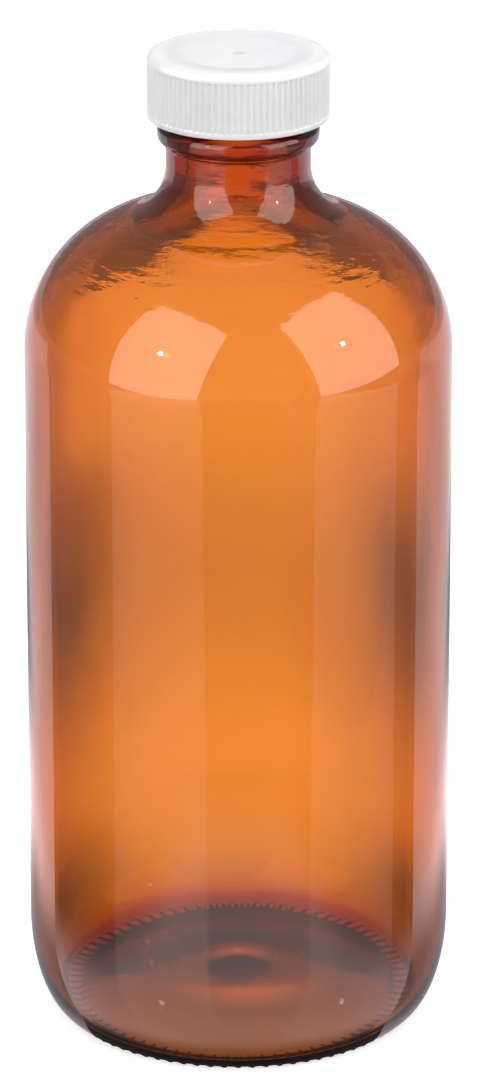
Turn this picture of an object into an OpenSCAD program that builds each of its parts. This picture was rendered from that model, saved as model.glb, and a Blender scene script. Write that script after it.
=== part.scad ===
// Amber glass reagent bottle, half litre Boston round pattern, with a
// ribbed screw cap and a three-ply cap liner. Millimetres, +Z up.
// The origin is the middle of the bearing ring, on the surface that the
// bottle stands on. The cap is drawn screwed down, with its liner on the rim.

/* [Bottle] */
// Outside diameter of the body
body_d = 75; // [72:1:78]
// Height of the bottle from the bearing ring to the rim
bottle_h = 175; // [174:1:185]
// Height at which the shoulder starts to curve in
shoulder_z = 124; // [110:1:126]
// Radius of the shoulder's arc
shoulder_r = 25; // [23:0.5:26]
// Glass thickness of the body
wall = 2.3; // [2:0.1:3.5]

/* [Base] */
// Height of the rounded heel
heel_h = 18; // [12:1:20]
// How far the heel curves in from the body
heel_inset = 7.2; // [6:0.2:8]
// Width of the flat bearing ring
ring_w = 2.4; // [1.6:0.2:3]
// How far the centre of the base is pushed up
push_up = 3.2; // [2:0.2:5]
// Glass thickness of the base
base_t = 4; // [3:0.5:6]

/* [Neck finish 28-400] */
// Diameter across the crest of the thread
thread_d = 27.4; // [27.2:0.1:27.6]
// Diameter of the neck at the root of the thread
root_d = 25; // [24.8:0.1:25.2]
// Diameter of the mouth
mouth_d = 17.2; // [15.6:0.2:18]
// Distance from the rim to the top of the bead
finish_h = 9.9; // [9.8:0.1:10.4]
// Distance that the thread climbs in one turn
pitch = 4.2333; // [4.1:0.0333:4.3]
// Angle that the neck's thread covers
neck_thread_deg = 450; // [380:10:460]

/* [Cap] */
// Diameter of the cap over its ribs
cap_d = 31.6; // [31.2:0.1:32]
// Height of the cap
cap_h = 11.4; // [11.2:0.1:11.6]
// Thickness of the cap's top
cap_top = 1.25; // [1.1:0.05:1.4]
// Number of grip ribs
rib_n = 88; // [60:2:100]
// How far the ribs stand out
rib_h = 0.36; // [0.2:0.02:0.4]
// Angle that the cap's thread covers
cap_thread_deg = 400; // [300:10:400]

/* [Liner] */
// Diameter of the liner
liner_d = 27.8; // [27.4:0.1:27.8]
// Thickness of each solid skin of the liner
skin_t = 0.12; // [0.1:0.01:0.15]
// Thickness of the liner's foam core, squeezed
core_t = 0.72; // [0.6:0.02:0.76]

/* [Hidden] */
$fn = 96;

// Heights
liner_t = core_t + 2 * skin_t;
cap_z1 = bottle_h + liner_t + cap_top;
cap_z0 = cap_z1 - cap_h;
roof_z = bottle_h + liner_t;

// Body and shoulder, as seen in a half section
body_r = body_d / 2;
arc_steps = 14;
small_arc_steps = 6;
shoulder_cx = body_r - shoulder_r;
ring_r0 = body_r - heel_inset - ring_w / 2;
ring_r1 = ring_r0 + ring_w;
recess_h = 0.7;
recess_edge = 0.8;
heel_lift = 0.4;
trough_inset = 6.5;
trough_r = body_r - trough_inset;
trough_drop = 2;
floor_z = push_up + base_t;
trough_z = floor_z - trough_drop;

// Neck, bead and rim
root_r = root_d / 2;
neck_step = 0.15;
neck_r = root_r + neck_step;
fillet_r = 9.5;
mouth_r = mouth_d / 2;
inner_fillet_r = 12;
bead_r = 14.1;
bead_h = 4;
bead_round = 1.6;
bead_foot = 0.8;
bead_low_deg = 60;
bead_top_deg = 70;
rim_round = 1;
mouth_edge = 0.6;

// Thread section: half width at the root and at the crest, and how far the
// ridge's foot is sunk into the wall that it grows from
neck_foot = 1.2;
neck_crest = 0.55;
cap_foot = 0.95;
cap_crest = 0.4;
sunk = 0.3;
thread_step = 10;
run_out = 20;
run_out_full = 0.35;
neck_thread_z = bottle_h - 7.6;
// The cap's thread lies under the neck's, this far down at the same angle
thread_drop = 1.52;
cap_thread_start = 100;

// Cap
skirt_r = cap_d / 2;
rib_root_r = skirt_r - rib_h;
cap_root_r = 14.05;
cap_crest_r = 12.9;
plain_rim_h = 0.8;
shoulder_round = 1.3;
lead_in = 0.5;
retainer_r = 0.45;
retainer_z = bottle_h - 0.5;
dish_depth = 0.25;
dish_r = 12.4;
gate_r = 0.9;
gate_h = 0.15;

// Grip ribs: half widths as parts of the rib spacing, how far the band of ribs
// is sunk into the skirt, and its overlap with the plain parts above and below
rib_foot = 0.3;
rib_tip = 0.14;
rib_sunk = 0.02;
rib_overlap = 0.1;
rib_band_t = 0.6;

// Sides of the small circle that the liner's retainer is turned from
retainer_sides = 24;

// Points along an arc about (cx, cz), from angle a0 to a1
function arc(cx, cz, r, a0, a1, n = arc_steps) = [
    for (i = [0 : n])
        let (a = a0 + (a1 - a0) * i / n)
        [cx + r * cos(a), cz + r * sin(a)]
];

// Height of the centre of a fillet of radius rf, tangent to the upright line
// at r = rn and to the shoulder arc of radius rs
function fillet_z(rs, rf, rn) =
    shoulder_z + sqrt(pow(rs + rf, 2) - pow(rn + rf - shoulder_cx, 2));

// Angle at which the fillet and the shoulder arc meet, seen from the arc
function meet_deg(rs, rf, rn) = acos((rn + rf - shoulder_cx) / (rs + rf));

// Shoulder and the fillet above it, from the body up to the neck
function shoulder(rs, rf, rn) = let (
    a = meet_deg(rs, rf, rn),
    z = fillet_z(rs, rf, rn)
) concat(
    arc(shoulder_cx, shoulder_z, rs, 0, a),
    arc(rn + rf, z, rf, 180 + a, 180)
);

// Outer heel, a quarter of an ellipse from the ring to the body
function heel() = [
    for (i = [0 : arc_steps])
        let (a = 90 * i / arc_steps)
        if (heel_h * (1 - cos(a)) > heel_lift)
            [body_r - heel_inset + heel_inset * sin(a), heel_h * (1 - cos(a))]
];

// Underside, from the axis to the bearing ring
function underside() = let (
    edge = ring_r0 - recess_edge,
    rise = push_up - recess_h,
    dome_r = (edge * edge + rise * rise) / (2 * rise),
    half = asin(edge / dome_r)
) concat(
    arc(0, push_up - dome_r, dome_r, 90, 90 - half, small_arc_steps),
    [[ring_r0, 0], [ring_r1, 0]]
);

// Inner heel, a quarter of an ellipse from the floor's trough to the body
function inner_heel(r) = [
    for (i = [0 : arc_steps])
        let (a = 90 * i / arc_steps)
        [trough_r + (r - trough_r) * sin(a), heel_h - (heel_h - trough_z) * cos(a)]
];

// Floor inside the bottle, high in the middle and low near the wall
function inner_floor() = [
    for (i = [0 : arc_steps - 1])
        let (part = i / arc_steps)
        [trough_r * part, trough_z + trough_drop * (1 + cos(180 * part)) / 2]
];

// Inside of the bottle, from the middle of the floor to the mouth
function inside() = concat(
    inner_floor(),
    inner_heel(body_r - wall),
    shoulder(shoulder_r - wall, inner_fillet_r, mouth_r),
    [[mouth_r, bottle_h - mouth_edge], [mouth_r + mouth_edge, bottle_h]]
);

// Neck above the shoulder: root cylinder, bead and rim
function finish() = let (
    bead_top = bottle_h - finish_h,
    bead_low = bead_top - bead_h,
    bead_cx = bead_r - bead_round
) concat(
    [[neck_r, bead_low - bead_foot]],
    arc(bead_cx, bead_low + bead_round, bead_round, -bead_low_deg, 0, small_arc_steps),
    arc(bead_cx, bead_top - bead_round, bead_round, 0, bead_top_deg, small_arc_steps),
    [[root_r, bead_top]],
    arc(root_r - rim_round, bottle_h - rim_round, rim_round, 0, 90, small_arc_steps)
);

// Corners of one thread section at height z. Its flanks run on into the wall
// below the root, and its crest is pulled back near either end of the thread
function section(root_r, crest_r, foot, crest, z, full) = let (
    side = sign(crest_r - root_r),
    slope = (foot - crest) / abs(crest_r - root_r),
    foot_r = root_r - side * sunk,
    tip_r = foot_r + (crest_r - foot_r) * full
) [
    [foot_r, z - foot - slope * sunk],
    [tip_r, z - crest],
    [tip_r, z + crest],
    [foot_r, z + foot + slope * sunk]
];

// Ridge along a right-hand helix that starts at height z and angle a0
module thread(root_r, crest_r, foot, crest, z, a0, sweep) {
    steps = round(sweep / thread_step);
    rings = [
        for (i = [0 : steps])
            let (
                a = a0 + sweep * i / steps,
                from_end = min(i, steps - i) * sweep / steps,
                full = run_out_full + (1 - run_out_full) * min(1, from_end / run_out)
            )
            for (p = section(root_r, crest_r, foot, crest, z + pitch * a / 360, full))
                [p.x * cos(a), p.x * sin(a), p.y]
    ];
    sides = [
        for (i = [0 : steps - 1])
            for (k = [0 : 3])
                let (m = (k + 1) % 4)
                [4 * i + k, 4 * i + m, 4 * i + 4 + m, 4 * i + 4 + k]
    ];
    ends = [[3, 2, 1, 0], [for (k = [0 : 3]) 4 * steps + k]];
    inward = crest_r < root_r;
    faces = concat(sides, ends);
    flipped = [for (f = faces) [for (k = [len(f) - 1 : -1 : 0]) f[k]]];
    polyhedron(points = rings, faces = inward ? flipped : faces, convexity = 4);
}

// Blown glass bottle, with the mouth open down to the inside
module glass_bottle() {
    outer = concat(
        underside(),
        heel(),
        shoulder(shoulder_r, fillet_r, neck_r),
        finish()
    );
    hollow = inside();
    wall_section = concat(
        outer,
        [for (i = [len(hollow) - 1 : -1 : 0]) hollow[i]]
    );
    color([0.55, 0.22, 0.03, 0.7])
    union() {
        rotate_extrude()
            polygon(wall_section);
        thread(
            root_r, thread_d / 2,
            neck_foot, neck_crest,
            neck_thread_z, 0, neck_thread_deg
        );
    }
}

// Half section of the cap without its ribs and thread
module cap_section() {
    top = arc(
        skirt_r - shoulder_round, cap_z1 - shoulder_round,
        shoulder_round, 0, 90, small_arc_steps
    );
    polygon(concat(
        [
            [0, roof_z],
            [cap_root_r, roof_z],
            [cap_root_r, cap_z0 + lead_in],
            [cap_root_r + lead_in, cap_z0],
            [skirt_r, cap_z0],
            [skirt_r, cap_z0 + plain_rim_h],
            [rib_root_r, cap_z0 + plain_rim_h],
            [rib_root_r, cap_z1 - shoulder_round - rib_h],
            [skirt_r, cap_z1 - shoulder_round - rib_h]
        ],
        top,
        [
            [dish_r, cap_z1],
            [dish_r - dish_depth, cap_z1 - dish_depth],
            [gate_r, cap_z1 - dish_depth],
            [gate_r, cap_z1 - dish_depth - gate_h],
            [0, cap_z1 - dish_depth - gate_h]
        ]
    ));
}

// Upright grip ribs, as one toothed band round the skirt
module grip_ribs() {
    rib = 360 / rib_n;
    teeth = [
        for (i = [0 : rib_n - 1])
            for (p = [[-rib_foot, 0], [-rib_tip, 1], [rib_tip, 1], [rib_foot, 0]])
                let (
                    a = (i + p[0]) * rib,
                    r = rib_root_r - rib_sunk + (rib_h - rib_sunk) * p[1]
                )
                [r * cos(a), r * sin(a)]
    ];
    band_z = cap_z0 + plain_rim_h - rib_overlap;
    band_h = cap_h - plain_rim_h - shoulder_round - rib_h + 2 * rib_overlap;
    translate([0, 0, band_z])
    linear_extrude(height = band_h)
    difference() {
        polygon(teeth);
        circle(r = cap_root_r + rib_band_t);
    }
}

// Small ring inside the skirt that keeps the liner in
module liner_retainer() {
    translate([0, 0, retainer_z])
    rotate_extrude()
        translate([cap_root_r, 0])
            circle(r = retainer_r, $fn = retainer_sides);
}

// Moulded screw cap
module screw_cap() {
    color([0.93, 0.93, 0.91])
    union() {
        rotate_extrude()
            cap_section();
        grip_ribs();
        liner_retainer();
        thread(
            cap_root_r, cap_crest_r,
            cap_foot, cap_crest,
            neck_thread_z - thread_drop, cap_thread_start, cap_thread_deg
        );
    }
}

// One round ply of the liner, from height z up
module ply(z, t) {
    translate([0, 0, z])
        cylinder(h = t, d = liner_d);
}

// Solid skin against the cap's roof
module liner_back_skin() {
    color([0.96, 0.96, 0.95])
        ply(bottle_h + skin_t + core_t, skin_t);
}

// Foamed middle of the liner
module liner_foam_core() {
    color([0.9, 0.9, 0.88])
        ply(bottle_h + skin_t, core_t);
}

// Solid skin against the bottle's rim
module liner_face_skin() {
    color([0.96, 0.96, 0.95])
        ply(bottle_h, skin_t);
}

glass_bottle();
screw_cap();
liner_back_skin();
liner_foam_core();
liner_face_skin();
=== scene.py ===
from math import acos, asin, ceil, cos, degrees, hypot, pi, radians, sin, sqrt

import bpy
from mathutils import Euler, Matrix, Vector, noise


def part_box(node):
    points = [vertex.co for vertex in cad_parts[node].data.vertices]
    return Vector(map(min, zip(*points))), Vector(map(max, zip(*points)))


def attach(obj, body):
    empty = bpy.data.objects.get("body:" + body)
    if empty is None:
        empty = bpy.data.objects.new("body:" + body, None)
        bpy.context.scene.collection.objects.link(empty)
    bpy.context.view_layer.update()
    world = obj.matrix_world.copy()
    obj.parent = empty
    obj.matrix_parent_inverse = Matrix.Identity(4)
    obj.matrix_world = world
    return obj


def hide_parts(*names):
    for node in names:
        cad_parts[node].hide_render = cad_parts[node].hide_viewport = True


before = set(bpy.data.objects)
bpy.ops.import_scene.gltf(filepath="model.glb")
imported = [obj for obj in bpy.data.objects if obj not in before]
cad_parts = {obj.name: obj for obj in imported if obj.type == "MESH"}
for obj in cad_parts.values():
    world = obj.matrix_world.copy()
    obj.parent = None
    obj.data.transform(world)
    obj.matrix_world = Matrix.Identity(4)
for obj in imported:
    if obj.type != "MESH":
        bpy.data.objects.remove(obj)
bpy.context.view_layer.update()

# Outlines are half sections in millimetres, as points (radius, height).
# Every mesh is turned to metres where it is made.
MM = 0.001


def cad_size(node):
    """Radius, lowest and highest height of a round CAD node, in millimetres."""
    lo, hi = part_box(node)
    return hi.x / MM, lo.z / MM, hi.z / MM


# Driving sizes, from the frame
BODY_R, _, RIM_Z = cad_size("glass_bottle")
CAP_R, CAP_Z0, CAP_Z1 = cad_size("screw_cap")
LINER_R, FACE_Z0, FACE_Z1 = cad_size("liner_face_skin")
_, CORE_Z0, CORE_Z1 = cad_size("liner_foam_core")
_, BACK_Z0, BACK_Z1 = cad_size("liner_back_skin")

# Body, shoulder and base
SHOULDER_Z = 124
SHOULDER_R = 25
SHOULDER_CX = BODY_R - SHOULDER_R
WALL = 2.3
HEEL_H = 18
HEEL_INSET = 7.2
HEEL_STEPS = 30
HEEL_FIRST = 4
INNER_HEEL_STEPS = 26
RECESS_H = 0.7
PUSH_UP = 3.2
BASE_T = 4
TROUGH_Z = 5.2
TROUGH_R = 31
FLOOR_STEPS = 22
FLOOR_TILT = 3.2
NUB_R = 6
NUB_H = 0.9

# Bearing ring. Its rounded edges are points (sideways, up) from the flat's edges
RING_W = 2.4
RING_MID = BODY_R - HEEL_INSET
RING_EDGE = (0.2, 0.12)
RING_FOOT = (0.45, 0.36)
UNDERSIDE_GAP = 0.8
KNURLS = 80
KNURL_H = 0.45
KNURL_IN = 28.4
KNURL_OUT = 32.3
KNURL_FADE = 0.5
KNURL_FLAT = 1.3

# Unevenness of the inside wall: noise waves per millimetre, and heights
SLOW_WAVES = 0.045
SLOW_H = 0.12
FINE_WAVES_ACROSS = 0.16
FINE_WAVES_UP = 0.3
FINE_H = 0.015
SHOULDER_FINE_H = 0.05
SHOULDER_FINE_BELOW = 8
SHOULDER_FINE_RISE = 20

# Neck finish 28-400
NECK_R = 12.65
NECK_STRAIGHT_Z = 157.5
ROOT_R = 12.5
ROOT_FILLET = 0.3
CREST_R = 13.7
MOUTH_R = 8.6
MOUTH_ROUND = 0.8
FILLET_R = 9.5
INNER_FILLET_R = 12
BEAD_R = 14.1
BEAD_TOP = RIM_Z - 9.9
BEAD_H = 4
BEAD_ROUND = 1.6
BEAD_FILLET = 0.6
BEAD_GAP = 0.5
RIM_ROUND = 1

# Threads. Foot and crest are half the ridge's width at its root and at its top
PITCH = 4.2333
RUN_OUT_DEG = 24
NECK_THREAD_Z = RIM_Z - 7.6
NECK_THREAD_DEG = 450
NECK_THREAD_FOOT = 1.2
NECK_THREAD_CREST = 0.45
CAP_THREAD_Z = NECK_THREAD_Z - 1.52
CAP_THREAD_START = 100
CAP_THREAD_DEG = 400
CAP_THREAD_FOOT = 0.95
CAP_THREAD_CREST = 0.32

# Cap
CAP_ROOT_R = 14.05
CAP_CREST_R = 12.9
TOP_ROUND = 1.3
EDGE_ROUND = 0.2
LEAD_IN = 0.5
LEAD_IN_GAP = 0.1
RETAINER_R = 0.45
RETAINER_Z = RIM_Z - 0.5
DISH_FLAT_R = 9.4
DISH_SLOPE = 4
DISH_STEPS = 12
DISH_H = 0.25
GATE_R = 0.9
GATE_H = 0.15
GATE_ROUND = 0.1

# Ribs of the cap. Foot and crest are parts of the spacing, from a rib's middle
RIBS = 88
RIB_H = 0.24
RIB_FOOT = 0.46
RIB_CREST = 0.06
RIB_END = 0.75
RIB_END_FADE = 0.6
RIM_BAND = 0.8
RIM_FADE = 0.35

# Skirt: the first ring below the top round, how far the closer rings reach at the top and
# above the rim's band, and the last ring above the bottom
SKIRT_GAP = 0.1
CLOSE_TOP = 0.9
CLOSE_LOW = 0.4
SKIRT_END = 0.35

# Liner
SKIN_EDGE = 0.05
CORE_EDGE = 0.12
IMPRINT_H = 0.03
IMPRINT_IN = 0.3
IMPRINT_OUT = 0.1
IMPRINT_FADE = 0.6

# Points round a ring. The knurls and the ribs need more than the rest, and small rings less
GLASS_N = 240
KNURL_N = 720
CAP_N = 220
RIB_N = 880
GATE_N = 44
PLY_N = 144
SMALL_R = 7
SMALL_N = 60

# Radius of the first ring beside a pole
FLOOR_POLE_R = 1.2
ROOF_POLE_R = 1.4
GATE_POLE_R = 0.55
PLY_POLE_R = 1.5

# Points nearer than this are one point, and radii nearer than SAME_R are the same
SAME_POINT = 1e-4
SAME_R = 0.01


# ---------------------------------------------------------------- outlines

def line(r0, z0, r1, z1, step):
    """Points from (r0, z0) to (r1, z1), at most step apart, ends included."""
    n = max(1, ceil(hypot(r1 - r0, z1 - z0) / step))
    return [(r0 + (r1 - r0) * i / n, z0 + (z1 - z0) * i / n) for i in range(n + 1)]


def arc(cx, cz, r, a0, a1, step):
    """Points along an arc about (cx, cz) from a0 to a1 degrees, at most step apart."""
    n = max(2, ceil(abs(radians(a1 - a0)) * r / step))
    angles = [radians(a0 + (a1 - a0) * i / n) for i in range(n + 1)]
    return [(cx + r * cos(a), cz + r * sin(a)) for a in angles]


def joined(*stretches):
    """One outline from several, without the points that two of them share."""
    out = []
    for points in stretches:
        for p in points:
            if not out or hypot(p[0] - out[-1][0], p[1] - out[-1][1]) > SAME_POINT:
                out.append(p)
    return out


def smooth(t):
    """0 below t = 0, 1 above t = 1 and a smooth rise between."""
    t = min(1, max(0, t))
    return t * t * (3 - 2 * t)


# ---------------------------------------------------------------- meshes

def ring(r, z, n, shape=None):
    """A ring of n points; shape(angle, r, z) may move each of them."""
    points = []
    for i in range(n):
        a = 2 * pi * i / n
        rr, zz = shape(a, r, z) if shape else (r, z)
        points.append(Vector((rr * cos(a), rr * sin(a), zz)) * MM)
    return points


def pole(z):
    """The single point on the axis that closes a solid."""
    return [Vector((0, 0, z)) * MM]


def band_faces(a, na, b, nb):
    """Faces between two rings that start at vertices a and b and have na and nb points."""
    if na == 1:
        return [(a, b + (i + 1) % nb, b + i) for i in range(nb)]
    if nb == 1:
        return [(a + i, a + (i + 1) % na, b) for i in range(na)]
    if na == nb:
        return [(a + i, a + (i + 1) % na, b + (i + 1) % na, b + i) for i in range(na)]
    if na > nb:
        return [f[::-1] for f in band_faces(b, nb, a, na)]
    m = nb // na
    faces = []
    for i in range(na):
        j = (i + 1) % na
        faces.append((a + i, a + j, b + (i + 1) * m % nb))
        for k in range(m):
            faces.append((a + i, b + (i * m + k + 1) % nb, b + i * m + k))
    return faces


def turned(name, rings, material):
    """A closed turned solid. Its rings run from pole to pole with the solid on their left."""
    verts, faces, starts = [], [], []
    for points in rings:
        starts.append(len(verts))
        verts.extend(points)
    for k in range(len(rings) - 1):
        faces.extend(band_faces(starts[k], len(rings[k]), starts[k + 1], len(rings[k + 1])))
    mesh = bpy.data.meshes.new(name)
    mesh.from_pydata(verts, [], faces)
    mesh.validate()
    mesh.shade_smooth()
    mesh.materials.append(material)
    piece = bpy.data.objects.new(name, mesh)
    bpy.context.scene.collection.objects.link(piece)
    return piece


def stand_in(piece, node, body):
    """piece is shown instead of a CAD node, which is hidden, and hangs on that node's body."""
    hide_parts(node)
    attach(piece, body)


# ---------------------------------------------------------------- threads

def thread_height(a, z, z0, start, sweep, foot, crest):
    """Height, 0 to 1, of a helical ridge at angle a (radians) and height z (mm)."""
    best = 0
    for turn in range(3):
        along = degrees(a) + 360 * turn - start
        if not 0 <= along <= sweep:
            continue
        off = abs(z - z0 - PITCH * (along + start) / 360)
        ends = smooth(min(along, sweep - along) / RUN_OUT_DEG)
        best = max(best, smooth((foot - off) / (foot - crest)) * ends)
    return best


# ---------------------------------------------------------------- bottle

def shoulder_points(rs, rf, rn, step):
    """Shoulder arc of radius rs and the fillet rf that leads into a neck of radius rn."""
    reach = rn + rf - SHOULDER_CX
    meet = degrees(acos(reach / (rs + rf)))
    z = SHOULDER_Z + sqrt((rs + rf) ** 2 - reach ** 2)
    return joined(
        arc(SHOULDER_CX, SHOULDER_Z, rs, 0, meet, step),
        arc(rn + rf, z, rf, 180 + meet, 180, step / 2),
    )


def heel_points():
    """Quarter ellipse to the body, from where the bearing ring's rounded edge ends."""
    angles = [radians(90 * i / HEEL_STEPS) for i in range(HEEL_FIRST, HEEL_STEPS)]
    return [(RING_MID + HEEL_INSET * sin(a), HEEL_H * (1 - cos(a))) for a in angles]


def underside_points():
    """Domed underside, from its middle to just inside the bearing ring."""
    edge = RING_MID - RING_W / 2 - UNDERSIDE_GAP
    rise = PUSH_UP - RECESS_H
    dome_r = (edge ** 2 + rise ** 2) / (2 * rise)
    half = degrees(asin(edge / dome_r))
    return arc(0, PUSH_UP - dome_r, dome_r, 90, 90 - half, step=1.2)[1:]


def ring_points():
    """Bearing ring, with its two edges rounded."""
    inner = RING_MID - RING_W / 2
    outer = RING_MID + RING_W / 2
    return joined(
        [(inner - out, up) for out, up in (RING_FOOT, RING_EDGE)],
        line(inner, 0, outer, 0, step=0.6),
        [(outer + RING_EDGE[0], RING_EDGE[1])],
    )


def bead_points():
    """Transfer bead, with the small fillets below and above it."""
    low = BEAD_TOP - BEAD_H
    middle_r = BEAD_R - BEAD_ROUND
    return joined(
        arc(NECK_R + BEAD_FILLET, low - BEAD_FILLET, BEAD_FILLET, 180, 100, step=0.2),
        arc(middle_r, low + BEAD_ROUND, BEAD_ROUND, -75, 0, step=0.22),
        arc(middle_r, BEAD_TOP - BEAD_ROUND, BEAD_ROUND, 0, 80, step=0.22),
        arc(ROOT_R + ROOT_FILLET, BEAD_TOP + ROOT_FILLET, ROOT_FILLET, 250, 180, step=0.12),
    )


def outer_points():
    """Outside of the bottle above the heel, up to the rim's inner edge."""
    bead = bead_points()
    return joined(
        line(BODY_R, HEEL_H, BODY_R, SHOULDER_Z, step=5),
        shoulder_points(SHOULDER_R, FILLET_R, NECK_R, step=0.9),
        line(NECK_R, NECK_STRAIGHT_Z, NECK_R, bead[0][1] - BEAD_GAP, step=0.8),
        bead,
        line(ROOT_R, BEAD_TOP + 1.5 * ROOT_FILLET, ROOT_R, RIM_Z - RIM_ROUND, step=0.2),
        arc(ROOT_R - RIM_ROUND, RIM_Z - RIM_ROUND, RIM_ROUND, 0, 90, step=0.16),
        arc(MOUTH_R + MOUTH_ROUND, RIM_Z - MOUTH_ROUND, MOUTH_ROUND, 90, 180, step=0.16),
    )


def floor_points():
    """Inside floor, from its raised middle out to the trough."""
    floor_z = PUSH_UP + BASE_T
    radii = [
        FLOOR_POLE_R + (TROUGH_R - FLOOR_POLE_R) * i / FLOOR_STEPS for i in range(FLOOR_STEPS)
    ]
    return [(r, TROUGH_Z + (floor_z - TROUGH_Z) * smooth(1 - r / TROUGH_R)) for r in radii]


def inner_heel_points():
    """Quarter ellipse from the trough up to the inside wall."""
    reach = BODY_R - WALL - TROUGH_R
    angles = [radians(90 * i / INNER_HEEL_STEPS) for i in range(INNER_HEEL_STEPS + 1)]
    return [(TROUGH_R + reach * sin(a), HEEL_H - (HEEL_H - TROUGH_Z) * cos(a)) for a in angles]


def inner_points():
    """Inside of the bottle, from the mouth down to the floor's middle."""
    r = BODY_R - WALL
    shoulder = shoulder_points(SHOULDER_R - WALL, INNER_FILLET_R, MOUTH_R, step=0.85)
    up = joined(
        floor_points(),
        inner_heel_points(),
        line(r, HEEL_H, r, SHOULDER_Z, step=2.6),
        shoulder,
        line(MOUTH_R, shoulder[-1][1], MOUTH_R, RIM_Z - MOUTH_ROUND, step=1),
    )
    return up[::-1]


def knurled(a, r, z):
    """Bearing ring with short rounded teeth cut up into it."""
    across = smooth((r - KNURL_IN) / KNURL_FADE) * smooth((KNURL_OUT - r) / KNURL_FADE)
    tooth = 0.5 - 0.5 * cos(KNURLS * a)
    return r, z + KNURL_H * across * smooth(KNURL_FLAT * tooth)


def threaded(a, r, z):
    """Neck with its thread, between the bead and the rim."""
    sides = NECK_THREAD_FOOT, NECK_THREAD_CREST
    h = thread_height(a, z, NECK_THREAD_Z, 0, NECK_THREAD_DEG, *sides)
    return r + (CREST_R - ROOT_R) * h, z


def rippled(a, r, z):
    """Slightly uneven inside wall, as blown glass has, and a sloped floor with a small hump."""
    p = Vector((r * cos(a), r * sin(a), z))
    fine_p = Vector((p.x * FINE_WAVES_ACROSS, p.y * FINE_WAVES_ACROSS, p.z * FINE_WAVES_UP))
    slow = noise.noise(p * SLOW_WAVES)
    fine = noise.noise(fine_p)
    high = smooth((z - SHOULDER_Z + SHOULDER_FINE_BELOW) / SHOULDER_FINE_RISE)
    low = smooth(1 - z / HEEL_H)
    nub = NUB_H * smooth(1 - r / NUB_R) if z < HEEL_H else 0
    lift = FLOOR_TILT * low * p.y / RING_MID + nub
    return r + SLOW_H * slow + (FINE_H + SHOULDER_FINE_H * high) * fine, z + lift


def ring_size(r):
    """Points round a ring of the glass."""
    return SMALL_N if r < SMALL_R else GLASS_N


def bottle_rings():
    """Rings of the bottle from the underside's pole to the inside floor's pole."""
    rings = [pole(PUSH_UP)]
    rings += [ring(r, z, ring_size(r)) for r, z in underside_points()]
    rings += [ring(r, z, KNURL_N, knurled) for r, z in ring_points()]
    rings += [ring(r, z, GLASS_N) for r, z in heel_points()]
    for r, z in outer_points():
        on_thread = abs(r - ROOT_R) < SAME_R and z > BEAD_TOP
        rings.append(ring(r, z, GLASS_N, threaded if on_thread else None))
    rings += [ring(r, z, ring_size(r), rippled) for r, z in inner_points()]
    rings.append(pole(PUSH_UP + BASE_T + NUB_H))
    return rings


# ---------------------------------------------------------------- cap

def cap_top_points():
    """Outside of the cap from the gate mark to the top of the ribs."""
    low = CAP_Z1 - DISH_H
    slope = [i / DISH_STEPS for i in range(DISH_STEPS + 1)]
    return joined(
        arc(GATE_R - GATE_ROUND, low - GATE_ROUND, GATE_ROUND, 0, 90, step=0.05),
        line(GATE_R + GATE_ROUND, low, DISH_FLAT_R, low, step=1.2),
        [(DISH_FLAT_R + DISH_SLOPE * t, low + DISH_H * smooth(t)) for t in slope],
        arc(CAP_R - TOP_ROUND, CAP_Z1 - TOP_ROUND, TOP_ROUND, 90, 0, step=0.16),
    )


def ribbed(a, r, z):
    """Skirt with upright rounded ribs, which fade out near the top and the rim."""
    off = 0.5 - abs((a * RIBS / (2 * pi)) % 1 - 0.5)
    rib = smooth((RIB_FOOT - off) / (RIB_FOOT - RIB_CREST))
    top = smooth((z - (CAP_Z1 - TOP_ROUND - RIB_END)) / RIB_END_FADE)
    low = smooth((CAP_Z0 + RIM_BAND + RIM_FADE - z) / RIM_FADE)
    return r - RIB_H * (1 - max(rib, top, low)), z


def cap_wall_points():
    """Ribbed skirt down to the plain rim, with closer rings where the ribs fade out."""
    upper = CAP_Z1 - TOP_ROUND - CLOSE_TOP
    lower = CAP_Z0 + RIM_BAND + CLOSE_LOW
    return joined(
        line(CAP_R, CAP_Z1 - TOP_ROUND - SKIRT_GAP, CAP_R, upper, step=0.1),
        line(CAP_R, upper, CAP_R, lower, step=1.5),
        line(CAP_R, lower, CAP_R, CAP_Z0 + SKIRT_END, step=0.1),
    )


def cap_inside_points():
    """Inside of the cap, from the bottom edge up to the roof."""
    edge_r = CAP_R - EDGE_ROUND
    r = CAP_ROOT_R
    return joined(
        arc(edge_r, CAP_Z0 + EDGE_ROUND, EDGE_ROUND, 0, -90, step=0.08),
        line(edge_r, CAP_Z0, r + LEAD_IN + LEAD_IN_GAP, CAP_Z0, step=0.5),
        line(r + LEAD_IN, CAP_Z0, r, CAP_Z0 + LEAD_IN, step=0.15),
        line(r, CAP_Z0 + LEAD_IN, r, RETAINER_Z - RETAINER_R, step=0.2),
        arc(r, RETAINER_Z, RETAINER_R, 270, 90, step=0.12),
        line(r, RETAINER_Z + RETAINER_R, r, BACK_Z1, step=0.3),
        line(r, BACK_Z1, ROOF_POLE_R, BACK_Z1, step=1.5),
    )


def cap_threaded(a, r, z):
    """Inside wall of the cap with its thread."""
    sides = CAP_THREAD_FOOT, CAP_THREAD_CREST
    h = thread_height(a, z, CAP_THREAD_Z, CAP_THREAD_START, CAP_THREAD_DEG, *sides)
    return r - (CAP_ROOT_R - CAP_CREST_R) * h, z


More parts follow.
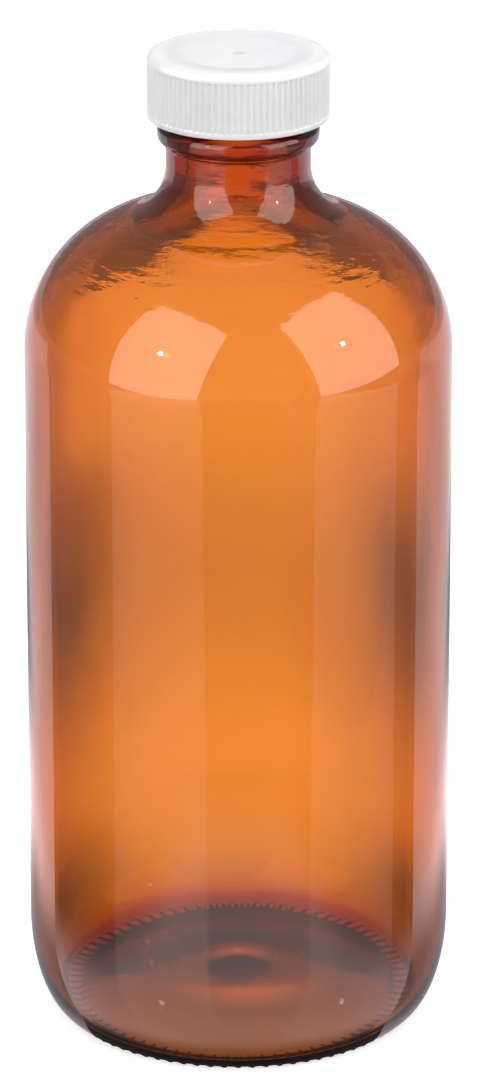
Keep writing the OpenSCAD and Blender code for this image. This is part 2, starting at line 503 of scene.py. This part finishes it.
def cap_rings():
    """Rings of the cap from the roof's pole to the gate mark's pole."""
    gate_z = CAP_Z1 - DISH_H - GATE_H
    rings = [pole(gate_z)]
    rings += [ring(r, gate_z, GATE_N) for r in (GATE_POLE_R, GATE_R - GATE_ROUND / 2)]
    rings += [ring(r, z, CAP_N) for r, z in cap_top_points()]
    rings += [ring(r, z, RIB_N, ribbed) for r, z in cap_wall_points()]
    for r, z in cap_inside_points():
        on_wall = abs(r - CAP_ROOT_R) < SAME_R and z < RETAINER_Z
        rings.append(ring(r, z, CAP_N, cap_threaded if on_wall else None))
    rings.append(pole(BACK_Z1))
    return rings[::-1]


# ---------------------------------------------------------------- liner

def ply_rings(z0, z1, edge, press=0):
    """One round ply of the liner with a rounded edge; press is the depth of the rim's imprint."""
    r = LINER_R - edge
    outline = joined(
        line(PLY_POLE_R, z0, r, z0, step=0.5),
        arc(r, z0 + edge, edge, -90, 0, edge / 3),
        arc(r, z1 - edge, edge, 0, 90, edge / 3),
        line(r, z1, PLY_POLE_R, z1, step=1.2),
    )

    def pressed(a, rr, z):
        inward = smooth((rr - MOUTH_R - IMPRINT_IN) / IMPRINT_FADE)
        outward = smooth((ROOT_R - IMPRINT_OUT - rr) / IMPRINT_FADE)
        return rr, z + (press * inward * outward if z == z0 else 0)

    return [pole(z0)] + [ring(rr, z, PLY_N, pressed) for rr, z in outline] + [pole(z1)]


# ---------------------------------------------------------------- materials

def new_material(name, **values):
    """A material with a Principled shader; values are set on its own sockets."""
    mat = bpy.data.materials.new(name)
    mat.use_nodes = True
    shader = mat.node_tree.nodes["Principled BSDF"]
    for key, value in values.items():
        shader.inputs[key.replace("_", " ")].default_value = value
    return mat, shader


def noise_node(mat, scale, detail=3.0, stretch=(1, 1, 1)):
    """Noise in object coordinates; scale is in waves per metre."""
    nodes, links = mat.node_tree.nodes, mat.node_tree.links
    coords = nodes.new("ShaderNodeTexCoord")
    mapping = nodes.new("ShaderNodeMapping")
    mapping.inputs["Scale"].default_value = stretch
    texture = nodes.new("ShaderNodeTexNoise")
    texture.inputs["Scale"].default_value = scale
    texture.inputs["Detail"].default_value = detail
    links.new(coords.outputs["Object"], mapping.inputs["Vector"])
    links.new(mapping.outputs["Vector"], texture.inputs["Vector"])
    return texture


def add_bump(mat, shader, texture, height, after=None):
    """Bump of the given height in metres from a texture, on top of another bump."""
    nodes, links = mat.node_tree.nodes, mat.node_tree.links
    bump = nodes.new("ShaderNodeBump")
    bump.inputs["Distance"].default_value = height
    links.new(texture.outputs[0], bump.inputs["Height"])
    if after:
        links.new(after.outputs["Normal"], bump.inputs["Normal"])
    links.new(bump.outputs["Normal"], shader.inputs["Normal"])
    return bump


def add_range(mat, texture, socket, low, high):
    """Drives a shader socket from a texture, from low to high."""
    nodes, links = mat.node_tree.nodes, mat.node_tree.links
    spread = nodes.new("ShaderNodeMapRange")
    spread.inputs["From Min"].default_value = 0.3
    spread.inputs["From Max"].default_value = 0.7
    spread.inputs["To Min"].default_value = low
    spread.inputs["To Max"].default_value = high
    links.new(texture.outputs[0], spread.inputs["Value"])
    links.new(spread.outputs[0], socket)


def add_tint(mat, shader, texture, dark, light):
    """Base colour that wanders between two near shades."""
    nodes, links = mat.node_tree.nodes, mat.node_tree.links
    ramp = nodes.new("ShaderNodeValToRGB")
    ramp.color_ramp.elements[0].position = 0.35
    ramp.color_ramp.elements[0].color = (*dark, 1)
    ramp.color_ramp.elements[1].position = 0.65
    ramp.color_ramp.elements[1].color = (*light, 1)
    links.new(texture.outputs[0], ramp.inputs["Fac"])
    links.new(ramp.outputs["Color"], shader.inputs["Base Color"])


# Colour that the glass lets through, how strongly it absorbs, and the heights in metres
# between which the wrinkles of the shoulder set in
AMBER = (0.848, 0.548, 0.0, 1)
AMBER_DENSITY = 880
WRINKLES_FROM = 0.132
WRINKLES_FULL = 0.144


def amber_glass():
    """Clear smooth glass whose colour is made by absorption, wavy and wrinkled at the shoulder."""
    mat, shader = new_material(
        "amber_glass",
        Transmission_Weight=1.0,
        IOR=1.52,
        Base_Color=(1, 1, 1, 1),
        Roughness=0.0,
    )
    nodes, links = mat.node_tree.nodes, mat.node_tree.links
    absorb = nodes.new("ShaderNodeVolumeAbsorption")
    absorb.inputs["Color"].default_value = AMBER
    absorb.inputs["Density"].default_value = AMBER_DENSITY
    links.new(absorb.outputs["Volume"], nodes["Material Output"].inputs["Volume"])
    waves = noise_node(mat, scale=60, detail=2.0, stretch=(1, 1, 0.35))
    wrinkles = noise_node(mat, scale=190, detail=3.0, stretch=(1, 1, 5))
    wiring = Wiring(mat.node_tree)
    height = wiring.place()[2]
    above = wiring.step(height, WRINKLES_FROM, WRINKLES_FULL)
    masked = wiring.times(wrinkles.outputs[0], above)
    bump = add_bump(mat, shader, waves, height=0.00002)
    add_bump(mat, shader, masked.node, height=0.00006, after=bump)
    return mat


def cap_plastic():
    """White plastic that lets a little light in, with a fine grain."""
    mat, shader = new_material(
        "cap_plastic", Roughness=0.38, IOR=1.49, Subsurface_Weight=0.6, Subsurface_Scale=0.0025
    )
    shader.inputs["Subsurface Radius"].default_value = (1.0, 0.95, 0.9)
    cloud = noise_node(mat, scale=220)
    grain = noise_node(mat, scale=5200, detail=2.0)
    add_tint(mat, shader, cloud, dark=(0.79, 0.79, 0.79), light=(0.82, 0.82, 0.815))
    add_range(mat, cloud, shader.inputs["Roughness"], low=0.34, high=0.42)
    soft = add_bump(mat, shader, cloud, height=0.00003)
    add_bump(mat, shader, grain, height=0.000012, after=soft)
    return mat


def liner_skin():
    """Smooth polyethylene skin."""
    mat, shader = new_material("liner_skin", Roughness=0.3, IOR=1.5)
    cloud = noise_node(mat, scale=400)
    grain = noise_node(mat, scale=2600, detail=2.0)
    add_tint(mat, shader, cloud, dark=(0.86, 0.86, 0.85), light=(0.91, 0.91, 0.9))
    add_range(mat, cloud, shader.inputs["Roughness"], low=0.26, high=0.38)
    add_bump(mat, shader, grain, height=0.00002)
    return mat


def liner_foam():
    """Fine closed-cell foam."""
    mat, shader = new_material("liner_foam", Roughness=0.75, IOR=1.45)
    nodes, links = mat.node_tree.nodes, mat.node_tree.links
    cells = nodes.new("ShaderNodeTexVoronoi")
    cells.inputs["Scale"].default_value = 5200
    coords = nodes.new("ShaderNodeTexCoord")
    links.new(coords.outputs["Object"], cells.inputs["Vector"])
    cloud = noise_node(mat, scale=900, detail=4.0)
    add_tint(mat, shader, cloud, dark=(0.78, 0.78, 0.76), light=(0.87, 0.87, 0.85))
    add_bump(mat, shader, cells, height=0.00008)
    return mat


# ---------------------------------------------------------------- studio

# Lengths in this part are in metres, and angles in degrees
AIM = Vector((0, 0, 0.15))
ROOM = (0.31, 0.30, 0.32, 1)

# Soft boxes: name, place (azimuth, elevation, distance), direction of the back, roll, size
SOFT_BOXES = (
    ("left", (-39.6, 23.7, 0.8), (-51.2, 14.6), -6.2, (0.77, 1.0)),
    ("right", (63.1, 27.6, 0.8), (65.6, 11.9), 7, (0.75, 1.01)),
)
SHOWN_RADIANCE = 3.0
LIT_RADIANCE = 4.3

# Bright middles of the soft boxes: name, (azimuth, elevation)
LAMPS = (("left", (-43.5, 20.5)), ("right", (61.1, 21.9)))
LAMP_DISTANCE = 0.7
LAMP_SIZE = 0.032
LAMP_RADIANCE = 45

FILL_FROM = (0, 80)
FILL_DISTANCE = 1.4
FILL_SIZE = 1.6
FILL_RADIANCE = 2.0

# The floor that the camera sees, and the sheets below it that the glass sees; the sheets glow with
# painted light and painted shade
FLOOR_R = 4.0
FLOOR_N = 96
FLOOR_GLOW = 0.65
SHEET_GAP = 0.00005
SHEET_COLOR = (1, 0.96, 1.04, 1)
SHEET_LEFT = Vector((-0.0328, -0.0183))
SHEET_LEFT_AZIMUTH = -122
SHEET_RIGHT = Vector((0.0311, -0.021))
SHEET_RIGHT_AZIMUTH = 112
SHEET_EDGE = 3
SHEET_BACK = Vector((0, 4))

# How much each sheet glows: everywhere, and what its bright zones add
BENCH_GLOW = 0.04
BENCH_NEAR_GLOW = 1.4
BENCH_SIDE_GLOW = 0.22
BRIGHT_GLOW = 1.55
# The disc under the base glows dimly as painted shade, and its spot adds a painted pool of light
BASE_GLOW = 0.4
BASE_SPOT_GLOW = 0.8

CAMERA_PLACE = (0.0008, -1.0307, 0.4614)
CAMERA_DOWN = 19.97
CAMERA_LENS = 204.7
CAMERA_SENSOR = 36


def heading(azimuth):
    """Level direction. Azimuth 0 is towards -Y, and +X is positive."""
    a = radians(azimuth)
    return Vector((sin(a), -cos(a)))


def toward(azimuth, elevation, distance, target):
    """Point at a distance from target, in the direction of an azimuth and an elevation."""
    a, e = radians(azimuth), radians(elevation)
    return target + distance * Vector((sin(a) * cos(e), -cos(a) * cos(e), sin(e)))


def area_light(name, place, back, roll, size, radiance):
    """Rectangular light at a place (azimuth, elevation, distance) from AIM.

    Its back points in the direction back (azimuth, elevation), and it has that radiance."""
    light = bpy.data.lights.new(name, "AREA")
    light.shape = "RECTANGLE"
    light.size, light.size_y = size
    light.energy = radiance * pi * size[0] * size[1]
    holder = bpy.data.objects.new(name, light)
    holder.location = toward(*place, AIM)
    facing = toward(*back, 1, Vector()).to_track_quat("Z", "Y").to_matrix()
    holder.rotation_euler = (facing @ Matrix.Rotation(radians(roll), 3, "Z")).to_euler()
    holder.visible_camera = False
    bpy.context.scene.collection.objects.link(holder)
    return holder


def only_diffuse(light):
    """Keeps a light out of reflections and out of what is seen through the glass."""
    light.visible_glossy = False
    light.visible_transmission = False


def studio_lights():
    """Two upright soft boxes in front of the bottle, each with a bright middle, and a top fill.

    The glass mirrors one light of each pair, and the other one lights the cap."""
    for name, place, back, roll, size in SOFT_BOXES:
        shown = area_light(f"soft_box_{name}", place, back, roll, size, SHOWN_RADIANCE)
        shown.visible_diffuse = False
        only_diffuse(area_light(f"soft_light_{name}", place, back, roll, size, LIT_RADIANCE))
    for name, side in LAMPS:
        size = (LAMP_SIZE, LAMP_SIZE)
        area_light(f"lamp_{name}", (*side, LAMP_DISTANCE), side, 0, size, LAMP_RADIANCE)
    size = (FILL_SIZE, FILL_SIZE)
    only_diffuse(area_light("fill", (*FILL_FROM, FILL_DISTANCE), FILL_FROM, 0, size, FILL_RADIANCE))


def studio_world():
    """A dim room all round."""
    world = bpy.data.worlds.new("studio")
    world.use_nodes = True
    sky = world.node_tree.nodes["Background"]
    sky.inputs["Color"].default_value = ROOM
    bpy.context.scene.world = world


def flat_sheet(name, corners, z, material):
    """A level sheet that isn't part of the object, through corners given in metres."""
    mesh = bpy.data.meshes.new(name)
    mesh.from_pydata([(x, y, z) for x, y in corners], [], [tuple(range(len(corners)))])
    mesh.materials.append(material)
    sheet = bpy.data.objects.new(name, mesh)
    bpy.context.scene.collection.objects.link(sheet)
    return sheet


def circle(radius):
    """Corners of a round sheet about the bottle's axis."""
    angles = [2 * pi * i / FLOOR_N for i in range(FLOOR_N)]
    return [(radius * cos(a), radius * sin(a)) for a in angles]


class Wiring:
    """Short-hand for the arithmetic nodes of one material."""

    def __init__(self, tree):
        self.tree = tree

    def node(self, kind, *sources, **settings):
        node = self.tree.nodes.new(kind)
        for key, value in settings.items():
            setattr(node, key, value)
        for socket, source in zip(node.inputs, sources):
            if isinstance(source, bpy.types.NodeSocket):
                self.tree.links.new(source, socket)
            else:
                socket.default_value = source
        return node.outputs[0]

    def math(self, operation, *sources):
        return self.node("ShaderNodeMath", *sources, operation=operation)

    def step(self, source, low, high):
        """0 up to low, 1 from high on, or the other way round if low is above high."""
        return self.node(
            "ShaderNodeMapRange", source, low, high, 0, 1, interpolation_type="SMOOTHSTEP"
        )

    def times(self, first, *others):
        """Product of two or more values."""
        for other in others:
            first = self.math("MULTIPLY", first, other)
        return first

    def place(self):
        """X, Y and Z in object coordinates."""
        coords = self.tree.nodes.new("ShaderNodeTexCoord").outputs["Object"]
        return self.node("ShaderNodeSeparateXYZ", coords).node.outputs

    def bump(self, source, middle, reach):
        """1 at the middle, falling to 0 at reach on both sides."""
        rise = self.step(source, middle - reach, middle)
        fall = self.step(source, middle + reach, middle)
        return self.times(rise, fall)

    def dimmed(self, value, amount, by):
        """value x (1 - amount x by)."""
        return self.times(value, self.math("SUBTRACT", 1, self.times(amount, by)))


def sheet_material(name, grey, glow):
    """Glossy sheet whose glow is made by glow(wiring, x, y, distance from the axis)."""
    mat, shader = new_material(
        name, Base_Color=(grey, grey, grey, 1), Roughness=0.02, IOR=1.5
    )
    shader.inputs["Emission Color"].default_value = SHEET_COLOR
    wiring = Wiring(mat.node_tree)
    x, y, _ = wiring.place()
    squares = wiring.math("ADD", wiring.times(x, x), wiring.times(y, y))
    strength = glow(wiring, x, y, wiring.math("SQRT", squares))
    mat.node_tree.links.new(strength, shader.inputs["Emission Strength"])
    return mat


def front_glow(wiring, x, y, distance):
    """Painted light: brighter in front, close to the bottle but outside a painted shadow of it, and
    far to the sides.
    """
    aside = wiring.math("ABSOLUTE", x)
    # A painted pool of light close to the bottle, cut off by a painted shadow right beside it
    close = wiring.step(distance, 0.18, 0.10)
    off_shadow = wiring.step(distance, 0.035, 0.042)
    near = wiring.times(close, off_shadow, wiring.step(aside, 0.09, 0.05))
    # Painted light far to the sides
    side = wiring.step(aside, 0.10, 0.25)
    level = wiring.math("ADD", BENCH_GLOW, wiring.times(near, BENCH_NEAR_GLOW))
    return wiring.math("ADD", level, wiring.times(side, BENCH_SIDE_GLOW))


def back_glow(wiring, x, y, distance):
    """Bright sheet with painted shade: dimmer beside the bottle, in a soft band across and in two
    far patches, and a painted shadow close to the bottle.
    """
    aside = wiring.math("ABSOLUTE", x)
    # Every zone below is painted shade that dims the glow
    inward = wiring.step(aside, 0.13, 0.09)
    band = wiring.bump(y, 0.225, 0.11)
    flanks = wiring.times(wiring.step(aside, 0.01, 0.055), wiring.bump(y, 0.205, 0.16), inward)
    edges = wiring.times(wiring.step(aside, 0.03, 0.06), wiring.bump(y, 0.20, 0.11), inward)
    outside = wiring.step(aside, 0.06, 0.13)
    strip = wiring.times(wiring.step(aside, 0.015, 0.04), wiring.step(y, 0.10, 0.04))
    beside = wiring.times(strip, wiring.step(aside, 0.09, 0.06))
    # A painted shadow of the bottle on the sheet, close to its axis
    shadow = wiring.step(distance, 0.10, 0.045)
    patches = wiring.times(wiring.step(aside, 0.022, 0.05), wiring.step(aside, 0.14, 0.09))
    far_patches = wiring.times(patches, wiring.step(y, 0.545, 0.565))
    farthest = wiring.step(y, 0.68, 0.82)
    level = BRIGHT_GLOW
    for amount, zone in (
        (0.24, band), (0.5, flanks), (0.85, edges), (0.42, outside),
        (0.8, beside), (0.3, shadow), (0.9, far_patches), (0.6, farthest),
    ):
        level = wiring.dimmed(level, amount, zone)
    return level


def under_glow(wiring, x, y, distance):
    """Painted shade under the bottle: dim, with a painted pool of light as a brighter spot behind
    the middle.
    """
    # A painted pool of light behind the middle
    spot = wiring.times(wiring.bump(y, 0.006, 0.011), wiring.bump(x, 0.002, 0.016))
    return wiring.math("ADD", BASE_GLOW, wiring.times(BASE_SPOT_GLOW, spot))


def pale_floor():
    """The pale matt floor, which only the camera sees."""
    pale, shader = new_material(
        "pale_floor", Base_Color=(0.95, 0.95, 0.95, 1), Roughness=0.9, Emission_Strength=FLOOR_GLOW
    )
    shader.inputs["Emission Color"].default_value = (1, 1, 1, 1)
    shown = flat_sheet("floor", circle(FLOOR_R), 0, pale)
    shown.visible_diffuse = False
    shown.visible_glossy = False
    shown.visible_transmission = False
    shown.visible_shadow = False


def bright_corners():
    """Corners of the bright sheet: a wedge that opens to the back from beside the bottle."""
    left_far = SHEET_LEFT + SHEET_EDGE * heading(SHEET_LEFT_AZIMUTH)
    right_far = SHEET_RIGHT + SHEET_EDGE * heading(SHEET_RIGHT_AZIMUTH)
    back = [right_far + SHEET_BACK, left_far + SHEET_BACK]
    return [SHEET_LEFT, SHEET_RIGHT, right_far, *back, left_far]


def studio_floor():
    """A pale matt floor for the camera, over the glossy bench and sheets that the glass mirrors,
    which glow with painted light and painted shade.
    """
    pale_floor()
    for name, corners, depth, grey, glow in (
        ("bench", circle(FLOOR_R), 4, 0.09, front_glow),
        ("bright_sheet", bright_corners(), 2, 0.3, back_glow),
        # A dim disc under the bottle is painted shade where the bottle stands
        ("painted_shade_under_base", circle(RING_MID * MM), 1, 0.2, under_glow),
    ):
        sheet = flat_sheet(name, corners, -depth * SHEET_GAP, sheet_material(name, grey, glow))
        sheet.visible_camera = False


def camera():
    """Camera at the photograph's angle: a long lens, pitched down by 20 degrees."""
    data = bpy.data.cameras.new("camera")
    data.sensor_width = CAMERA_SENSOR
    data.lens = CAMERA_LENS
    data.clip_start = 0.05
    data.clip_end = 50
    eye = bpy.data.objects.new("camera", data)
    eye.location = CAMERA_PLACE
    eye.rotation_euler = Euler((radians(90 - CAMERA_DOWN), 0, 0))
    bpy.context.scene.collection.objects.link(eye)
    bpy.context.scene.camera = eye


def look():
    """Plain view transform, and enough bounces for the glass."""
    scene = bpy.context.scene
    scene.view_settings.view_transform = "Standard"
    scene.cycles.max_bounces = 24
    scene.cycles.transmission_bounces = 24
    scene.cycles.glossy_bounces = 12
    scene.cycles.sample_clamp_indirect = 8


def build():
    """The five pieces, each for its CAD node, and the stage."""
    glass = amber_glass()
    plastic = cap_plastic()
    skin = liner_skin()
    foam = liner_foam()
    bottle = turned("bottle_glass", bottle_rings(), glass)
    stand_in(bottle, "glass_bottle", "bottle")
    cap = turned("cap_moulding", cap_rings(), plastic)
    stand_in(cap, "screw_cap", "cap")
    face = turned("liner_face", ply_rings(FACE_Z0, FACE_Z1, SKIN_EDGE, IMPRINT_H), skin)
    stand_in(face, "liner_face_skin", "liner")
    core = turned("liner_core", ply_rings(CORE_Z0, CORE_Z1, CORE_EDGE), foam)
    stand_in(core, "liner_foam_core", "liner")
    back = turned("liner_back", ply_rings(BACK_Z0, BACK_Z1, SKIN_EDGE), skin)
    stand_in(back, "liner_back_skin", "liner")
    studio_lights()
    studio_world()
    studio_floor()
    camera()
    look()


build()
